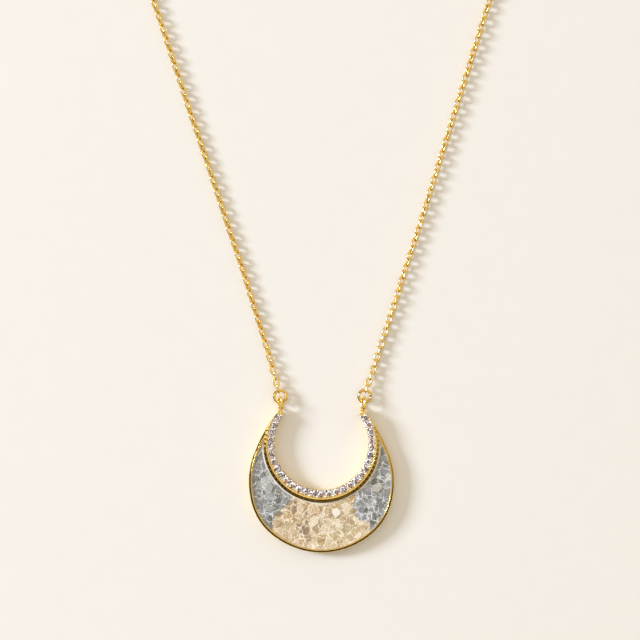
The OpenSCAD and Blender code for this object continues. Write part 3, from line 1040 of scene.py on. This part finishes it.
# %% [markdown]
# ## The chips
#
# A broken chip has straight sides of uneven length, so it is a polygon whose corners stand at shaken
# angles and distances from its middle. The chips are scattered on a shaken grid, kept off the metal,
# tilted by a few degrees, and coloured by marks on their points: the face in its own tint, the
# broken edge paler towards one side, a painted highlight, and darker towards the other, a painted
# shade. Some thirty chips that catch the eye on the real piece are placed one by one.

# %% Broken chips as arrays
chip_corners, side_points = 6, 3
edge_points = chip_corners * side_points
rail_margin, rim_margin = 0.3 * mm, 0.2 * mm
chip_lowest, chip_highest = bed_low + 0.05 * mm, 1.9 * mm
corner_shake, nearest_corner, farthest_corner = 0.32, 0.75, 1.2


def chip_outline(random, size, stretch, lying):
    """Points round each chip's edge from its middle: corners at equal angles and distances, shaken,
    then stretched to an ellipse that lies at an angle, with two more points on each straight side."""
    count = len(size)
    shake = random.uniform(-corner_shake, corner_shake, (count, chip_corners))
    shaken = np.arange(chip_corners) + shake
    facing = random.uniform(0, 2 * math.pi, (count, 1)) + shaken * 2 * math.pi / chip_corners
    reach = random.uniform(nearest_corner, farthest_corner, (count, chip_corners))
    distance = size[:, None] * reach
    long_part = distance * np.cos(facing) * np.sqrt(stretch)[:, None]
    short_part = distance * np.sin(facing) / np.sqrt(stretch)[:, None]
    cosine, sine = np.cos(lying)[:, None], np.sin(lying)[:, None]
    x = long_part * cosine - short_part * sine
    y = long_part * sine + short_part * cosine
    corner = np.stack([x, y], axis=-1)
    onward = (np.roll(corner, -1, axis=1) - corner)[:, :, None]
    share = np.arange(side_points)[:, None] / side_points
    return (corner[:, :, None] + share * onward).reshape(count, edge_points, 2)


def chip_stack(middles, outline, level, tilt, edge_share, edge_fall, thickness):
    """Points of all chips: for each a top ring, a ring at its broken edge and a ring under it. Height
    is the chip's level plus its tilt times the offset from its middle, less a fall at the edge."""
    shares = np.stack([1 - edge_share, 1 + 0 * edge_share, 1 + 0 * edge_share], axis=1)
    flat = middles[:, None, None, :] + shares[..., None, None] * outline[:, None]
    angle, radius = polar(flat)
    low, high = pocket_r(angle, rail_margin, rim_margin)
    points = around(angle, np.clip(radius, low, np.maximum(high, low)), 0.0)
    offset = points[..., :2] - middles[:, None, None, :]
    fall = np.stack([0 * edge_fall, edge_fall, edge_fall + thickness], axis=1)[..., None]
    points[..., 2] = level[:, None, None] + np.einsum("nrpk,nk->nrp", offset, tilt) - fall
    points[..., 2] = np.clip(points[..., 2], chip_lowest, chip_highest)
    return points


def chip_colours(random, outline, tint, pale, dark):
    """Colours of all chips' points. The top ring has the chip's tint. At the broken edge it goes over
    into pale, a painted highlight, by the cosine of the angle from a random lit side, and into dark,
    a painted shade, on the far side."""
    count = len(tint)
    painted_light_side = random.uniform(0, 2 * math.pi, count)
    strength = random.uniform(0.5, 1, count)[:, None]
    towards = np.stack([np.cos(painted_light_side), np.sin(painted_light_side)], axis=-1)[:, None]
    facing = (outline * towards).sum(axis=-1) / np.linalg.norm(outline, axis=-1)
    edge = mixed(tint[:, None], pale[:, None], np.clip(facing + 0.35, 0, 1) * strength)
    edge = mixed(edge, dark[:, None], np.clip(-facing - 0.2, 0, 1) * strength)
    face = mixed(tint[:, None], pale[:, None], random.uniform(0, 0.1, (count, edge_points)))
    return np.stack([face, edge, edge], axis=1)


chip_size = 3 * edge_points
chip_top, chip_under = list(range(edge_points)), list(range(chip_size - 1, 2 * edge_points - 1, -1))
chip_parts = [grid_quads(3, edge_points).tolist(), [chip_top], [chip_under]]


# %% Scattering the chips over a field
def scattered(random, spacing):
    """Middles on a hexagonal grid of a spacing, whose rows lie 0.87 of it apart, each shaken by up to
    half of it, that fall inside the part of the pocket where chips lie."""
    count = int(2 * outer_r / spacing) + 2
    column, row = np.meshgrid(np.arange(-count, count), np.arange(-count, count))
    grid = np.stack([(column + row % 2 / 2) * spacing, row * spacing * 0.87], axis=-1).reshape(-1, 2)
    grid = grid + random.uniform(-0.5, 0.5, grid.shape) * spacing + outer_centre
    angle, radius = polar(grid)
    low, high = pocket_r(angle, rail_margin, rim_margin)
    return grid[(radius > low) & (radius < high) & (angle > pocket_start) & (angle < pocket_end)]


def field_of(points):
    """The field that each point lies in: 0 left grey, 1 champagne, 2 right grey."""
    angle, radius = polar(points)
    low, high = pocket_r(angle, 0, 0)
    share = (radius - low) / (high - low)
    return (angle > np.interp(share, across, left_seam)).astype(int) + (
        angle > np.interp(share, across, right_seam)
    )


grey_tints = ["#989a98", "#aeb0b0", "#7c7e79", "#9ca2a8", "#64665f", "#c6c7c4", "#46473f"]
grey_odds = [0.24, 0.18, 0.17, 0.15, 0.12, 0.07, 0.07]
champagne_tints = ["#d3bd98", "#dfcbaa", "#c3a97f", "#eee0c8", "#bd9c62", "#a98e66", "#80653f"]
champagne_odds = [0.24, 0.21, 0.17, 0.14, 0.1, 0.09, 0.05]
layers = (
    {"spacing": 1.9 * mm, "size": (1.0, 1.5), "level": (1.6, 1.65), "tilt": 0.02},
    {"spacing": 2.5 * mm, "size": (0.7, 1.3), "level": (1.66, 1.72), "tilt": 0.03},
    {"spacing": 2.2 * mm, "size": (0.14, 0.32), "level": (1.7, 1.76), "tilt": 0.05},
)

# %% Chips placed one by one
# Each row: x and y from the outer circle's centre in mm, half width in mm, length over width, turn in
# degrees, and tint
hand_chips = [
    # The first chip's near-white tint is a painted highlight, a bright reflection on that chip.
    (2.9, -6.3, 0.92, 1.2, -10, "#fffaf0"), (3.0, -5.0, 0.5, 2.6, 4, "#c39c5c"),
    (-3.7, -7.0, 0.62, 1.7, 56, "#cdb38a"), (-3.1, -6.3, 0.24, 2.2, -36, "#5a3d2b"),
    (-5.1, -4.5, 0.42, 2.6, 112, "#7b735c"), (-1.1, -5.8, 0.85, 1.1, 5, "#d9b98c"),
    (-1.1, -6.75, 0.2, 4.0, -4, "#c08f3c"), (5.6, -6.0, 0.6, 1.5, 20, "#bda26a"),
    (5.8, -8.0, 0.55, 1.8, -48, "#b09168"), (-2.7, -11.6, 0.3, 2.4, 24, "#76603f"),
    (3.3, -10.1, 0.28, 2.6, -45, "#a98a4a"), (3.8, -9.1, 0.5, 1.3, 60, "#dcdcc2"),
    (0.6, -8.0, 0.2, 2.8, -36, "#8a6740"), (-4.8, -8.5, 0.34, 2.4, 8, "#9c8058"),
    (-0.2, -11.1, 0.8, 1.8, 10, "#bfa06c"), (-8.7, -8.4, 0.85, 1.1, 20, "#bea374"),
    (-12.5, 0.5, 0.5, 2.0, 121, "#5f615b"), (-10.9, 1.4, 0.6, 1.1, 40, "#62645d"),
    (-10.2, -1.7, 1.15, 1.2, 70, "#a6a59d"), (-12.2, -3.0, 0.45, 2.0, -28, "#55564c"),
    (-8.6, -2.5, 0.8, 1.1, 30, "#6d6859"), (-8.5, -3.8, 0.45, 1.2, 80, "#4f514c"),
    (-7.1, -4.1, 0.85, 1.1, 100, "#858b8c"), (-9.9, -5.4, 0.95, 1.6, 14, "#9da29e"),
    (-8.3, -6.5, 0.6, 1.7, 28, "#665a43"), (-10.2, -7.6, 0.6, 1.7, 125, "#63655f"),
    (12.2, 3.3, 0.7, 1.5, 46, "#5d5e4e"), (11.7, 0.7, 0.45, 2.0, 118, "#64665f"),
    (10.9, -1.2, 1.05, 1.2, 30, "#bdb7a6"), (9.9, -2.9, 0.8, 1.6, 12, "#6c6d66"),
    (8.3, -3.7, 0.32, 1.6, -40, "#55564f"), (7.7, -5.7, 0.7, 1.4, 20, "#7b8082"),
    (10.1, -6.9, 0.75, 1.4, 40, "#5f604f"), (10.0, -8.1, 0.5, 1.4, 10, "#3d3e35"),
]


# %% Build the three fields
def chip_layer(random, layer):
    """Middles, half widths, levels and tilts of one layer of scattered chips."""
    middles = scattered(random, layer["spacing"])
    count = len(middles)
    size = random.uniform(*layer["size"], count) * mm
    level = random.uniform(*layer["level"], count) * mm
    return middles, size, level, random.normal(0, layer["tilt"], (count, 2))


hand_level, hand_tilt = 1.8 * mm, 0.012
thickness, edge_steepness = 0.12 * mm, 0.35
random = np.random.default_rng(41)
middles, size, level, tilt = (
    np.concatenate(column) for column in zip(*[chip_layer(random, layer) for layer in layers])
)
stretch, lying = random.uniform(1, 2.2, len(middles)), random.uniform(0, math.pi, len(middles))
tints = np.array([linear(tint) for tint in grey_tints + champagne_tints])
grey_pick = random.choice(len(grey_tints), len(middles), p=grey_odds)
champagne_pick = random.choice(len(champagne_tints), len(middles), p=champagne_odds)
tint = tints[np.where(field_of(middles) == 1, champagne_pick + len(grey_tints), grey_pick)]
print(len(middles), "scattered chips and", len(hand_chips), "placed by hand")

hand = np.array([row[:5] for row in hand_chips])
hand_count = len(hand)
middles = np.vstack([middles, hand[:, :2] * mm + outer_centre])
size = np.append(size, hand[:, 2] * mm)
stretch = np.append(stretch, hand[:, 3])
lying = np.append(lying, np.radians(hand[:, 4]))
level = np.append(level, np.full(hand_count, hand_level))
tilt = np.vstack([tilt, random.normal(0, hand_tilt, (hand_count, 2))])
tint = np.vstack([tint, [linear(row[5]) for row in hand_chips]])

outline = chip_outline(random, size, stretch, lying)
edge_w = np.minimum(random.uniform(0.04, 0.11, len(size)) * mm, 0.4 * size)
edge_fall = edge_steepness * edge_w
points = chip_stack(middles, outline, level, tilt, edge_w / size, edge_fall, thickness)
field = field_of(middles)
champagne = (field == 1)[:, None]
# Pale is both the broken edge's painted highlight and a slight random lightening of each face; dark is
# the edge's painted shade.
pale = np.where(champagne, linear("#fff5e0"), linear("#f6f8fb"))
dark = np.where(champagne, linear("#84663e"), linear("#3f413c"))
colours = chip_colours(random, outline, tint, pale, dark)

# %% [markdown]
# ## The finish of the chips
#
# Crushed shell is lime in fine layers, so a chip is cloudy and mottled inside, with hairline cracks
# across it. Over all of it lies a clear resin, ground level and polished, which adds a soft second
# highlight. The tints come from the marks on the mesh. The mottling, in flecks of 0.15 mm, and the
# hairlines, 1.6 mm apart and broken up by a slow noise, are shader patterns that no mesh needs to
# carry. Real hairlines are finer than a pixel, so they are drawn coarser here.

# %% Crushed shell in clear resin
def crushed_shell(name, crack_colour, deep_colour):
    """Tint mark, darkened by a mottle towards a deep colour and lifted by it towards the crack's, then
    crossed by thin pale hairlines whose path is bent by a noise and which fade in and out."""
    material, tree, shader, place = new_material(name)
    tint_mark = add_node(tree, "Attribute", {"attribute_name": "tint"})
    flecks = {"Scale": repeats(0.15 * mm), "Detail": 5.0, "Roughness": 0.65}
    cloud = add_node(tree, "TexNoise", flecks, {"Vector": place})
    depth = add_node(
        tree,
        "MapRange",
        {"From Min": 0.34, "From Max": 0.5, "To Min": 0.7, "To Max": 0.0},
        {"Value": cloud},
    )
    lift = add_node(
        tree,
        "MapRange",
        {"From Min": 0.52, "From Max": 0.64, "To Min": 0.0, "To Max": 0.55},
        {"Value": cloud},
    )
    bend = add_node(tree, "TexNoise", {"Scale": repeats(1.2 * mm), "Detail": 3.0}, {"Vector": place})
    bent = add_node(
        tree,
        "VectorMath",
        {"operation": "MULTIPLY_ADD", 1: (1.4 * mm,) * 3},
        {0: bend.outputs["Color"], 2: place},
    )
    cells = add_node(
        tree, "TexVoronoi", {"feature": "DISTANCE_TO_EDGE", "Scale": repeats(1.6 * mm)}, {"Vector": bent}
    )
    hairline = add_node(
        tree,
        "MapRange",
        {"From Min": 0.02, "From Max": 0.06, "To Min": 0.95, "To Max": 0.0},
        {"Value": cells},
    )
    fading = add_node(tree, "MapRange", {"From Min": 0.38, "From Max": 0.5}, {"Value": bend})
    shown = add_node(tree, "Math", {"operation": "MULTIPLY"}, {0: hairline, 1: fading})
    colour = tint_mark
    for share, mixed_in in ((depth, deep_colour), (lift, crack_colour), (shown, crack_colour)):
        colour = add_node(tree, "Mix", {"data_type": "RGBA", 7: linear(mixed_in)}, {0: share, 6: colour})
    relief = add_node(tree, "Bump", {"Strength": 0.6, "Distance": 0.03 * mm}, {"Height": cloud})
    settings = {"Roughness": 0.42, "IOR": 1.53, "Coat Weight": 0.4, "Coat Roughness": 0.18}
    set_up(shader, settings, {"Base Color": colour, "Normal": relief})
    return material


grey_shell = crushed_shell("crushed_grey_shell_in_resin", "#e4e6e8", "#4c4d47")
champagne_shell = crushed_shell("crushed_champagne_shell_in_resin", "#faefd8", "#8c6c3e")

# %% Put bed and chips of each field together
grey_resin = [linear(tint) for tint in ("#86888a", "#fafbff", "#9a9fb0")]
champagne_resin = [linear(tint) for tint in ("#cdb891", "#fffaf4", "#d8c6b4")]
field_looks = (
    ("left_grey_chips", "grey_inlay_left", grey_shell, "grey_chips", grey_resin),
    ("champagne_chips", "champagne_inlay", champagne_shell, "champagne_chips", champagne_resin),
    ("right_grey_chips", "grey_inlay_right", grey_shell, "grey_chips", grey_resin),
)
for number, (name, node, shell, slot, resin) in enumerate(field_looks):
    bed, bed_colours = resin_bed(*fields[name], 160, *np.array(resin))
    mine = field == number
    faces = bed_faces(bed).tolist()
    for part in chip_parts:
        faces += moved_on(part, chip_size, mine.sum(), bed.size // 3)
    all_points = np.concatenate([bed.reshape(-1, 3), points[mine].reshape(-1, 3)])
    marks = {"tint": np.concatenate([bed_colours.reshape(-1, 4), colours[mine].reshape(-1, 4)])}
    make_piece(name + "_inlay", all_points, faces, shell, [node], crease=18, marks=marks)

# %% [markdown]
# ## The table
#
# The necklace lies on warm white board with a very fine tooth. It is part of the stage and not of
# the necklace. Its grain is finer than a pixel from this far, so the tooth is drawn at 1.2 mm and the
# tone at 4 mm, as coarse as they need to be for the eye to read a surface and not a void.

# %% Board
def warm_board():
    """Matt board: two warm whites mixed by a slow noise, with a shallow fine tooth."""
    material, tree, shader, place = new_material("warm_white_board")
    cloud = add_node(tree, "TexNoise", {"Scale": repeats(4 * mm), "Detail": 3.0}, {"Vector": place})
    tones = {"stops": [(0.35, "#f0ede8"), (0.65, "#f1eee9")]}
    paper = add_node(tree, "ValToRGB", tones, {"Fac": cloud})
    grain = {"Scale": repeats(1.2 * mm), "Detail": 4.0, "Roughness": 0.6}
    tooth = add_node(tree, "TexNoise", grain, {"Vector": place})
    relief = add_node(tree, "Bump", {"Strength": 0.4, "Distance": 0.03 * mm}, {"Height": tooth})
    settings = {"Roughness": 0.85, "Specular IOR Level": 0.2}
    set_up(shader, settings, {"Base Color": paper, "Normal": relief})
    return material


board_half = 1.5
board_mesh = bpy.data.meshes.new("board")
corners = [(x * board_half, y * board_half, 0) for x, y in ((-1, -1), (1, -1), (1, 1), (-1, 1))]
board_mesh.from_pydata(corners, [], [(0, 1, 2, 3)])
board_mesh.materials.append(warm_board())
board = placed("board", board_mesh)

# %% [markdown]
# ## Light
#
# The shadows fall to the right and a little down, are about 2.4 times as long as the metal is high,
# and have soft edges: one soft panel stands low on the left. The rest of the room fills the shadows
# with warm light from above. Polished gold shows whatever stands round it, and a room that is
# equally bright all round makes it look like yellow paint. So the room here is bright overhead and
# towards the back, and darkest low down in front, which draws a brown line between each bright top
# and the board's own reflection.

# %% Lamp
key_elevation = math.radians(22.5)
key_plan = unit(np.array([-1, 0.25]))
key_direction = [*(key_plan * math.cos(key_elevation)), math.sin(key_elevation)]
key_distance = 2.4
key_panel = bpy.data.lights.new("key_panel", "AREA")
key_panel.size = 0.58
key_panel.energy = 67
key_panel.color = linear("#e7efff")[:3]
toward = Vector(key_direction).normalized()
key_holder = placed("key_panel", key_panel)
key_holder.location = Vector((*open_centre, 0)) + toward * key_distance
key_holder.rotation_euler = toward.to_track_quat("Z", "Y").to_euler()

# %% Room
world = bpy.data.worlds.new("soft_room")
world.use_nodes = True
room_tree = world.node_tree
room = room_tree.nodes["Background"]
facing = add_node(room_tree, "TexCoord").outputs["Generated"]
brightest = unit(np.array([0.12, 0.34, 0.93]))
dot = {"operation": "DOT_PRODUCT", 1: tuple(brightest)}
towards = add_node(room_tree, "VectorMath", dot, {0: facing})
share = add_node(room_tree, "MapRange", {"From Min": -0.35, "From Max": 1.0}, {"Value": towards})
room_tones = {"stops": [(0.12, "#352e27"), (0.36, "#5a5146"), (0.54, "#bcb09f"), (0.7, "#fff5e3")]}
room_light = add_node(room_tree, "ValToRGB", room_tones, {"Fac": share})
set_up(room, {"Strength": 0.88}, {"Color": room_light})
bpy.context.scene.world = world
bpy.context.scene.view_settings.view_transform = "Standard"

# %% [markdown]
# ## Camera
#
# The picture looks straight down. The frame is 640 pixels square and the pendant's outer circle
# is 28 mm across, which makes the picture 123.8 mm wide on the surface, and its middle lies
# between the pendant and the neck. A long lens from 0.6 m keeps the circle round, and the lens is
# worked out from that distance and width.

# %% Camera over the pendant
picture_width = 123.8 * mm
picture_middle = outer_centre + np.array([-0.27, 30.9]) * mm
camera_height = 0.6
lens_data = bpy.data.cameras.new("camera")
lens_data.sensor_width = 36
lens_data.lens = lens_data.sensor_width * camera_height / picture_width
camera = placed("camera", lens_data)
camera.location = (*picture_middle, camera_height)
bpy.context.scene.camera = camera
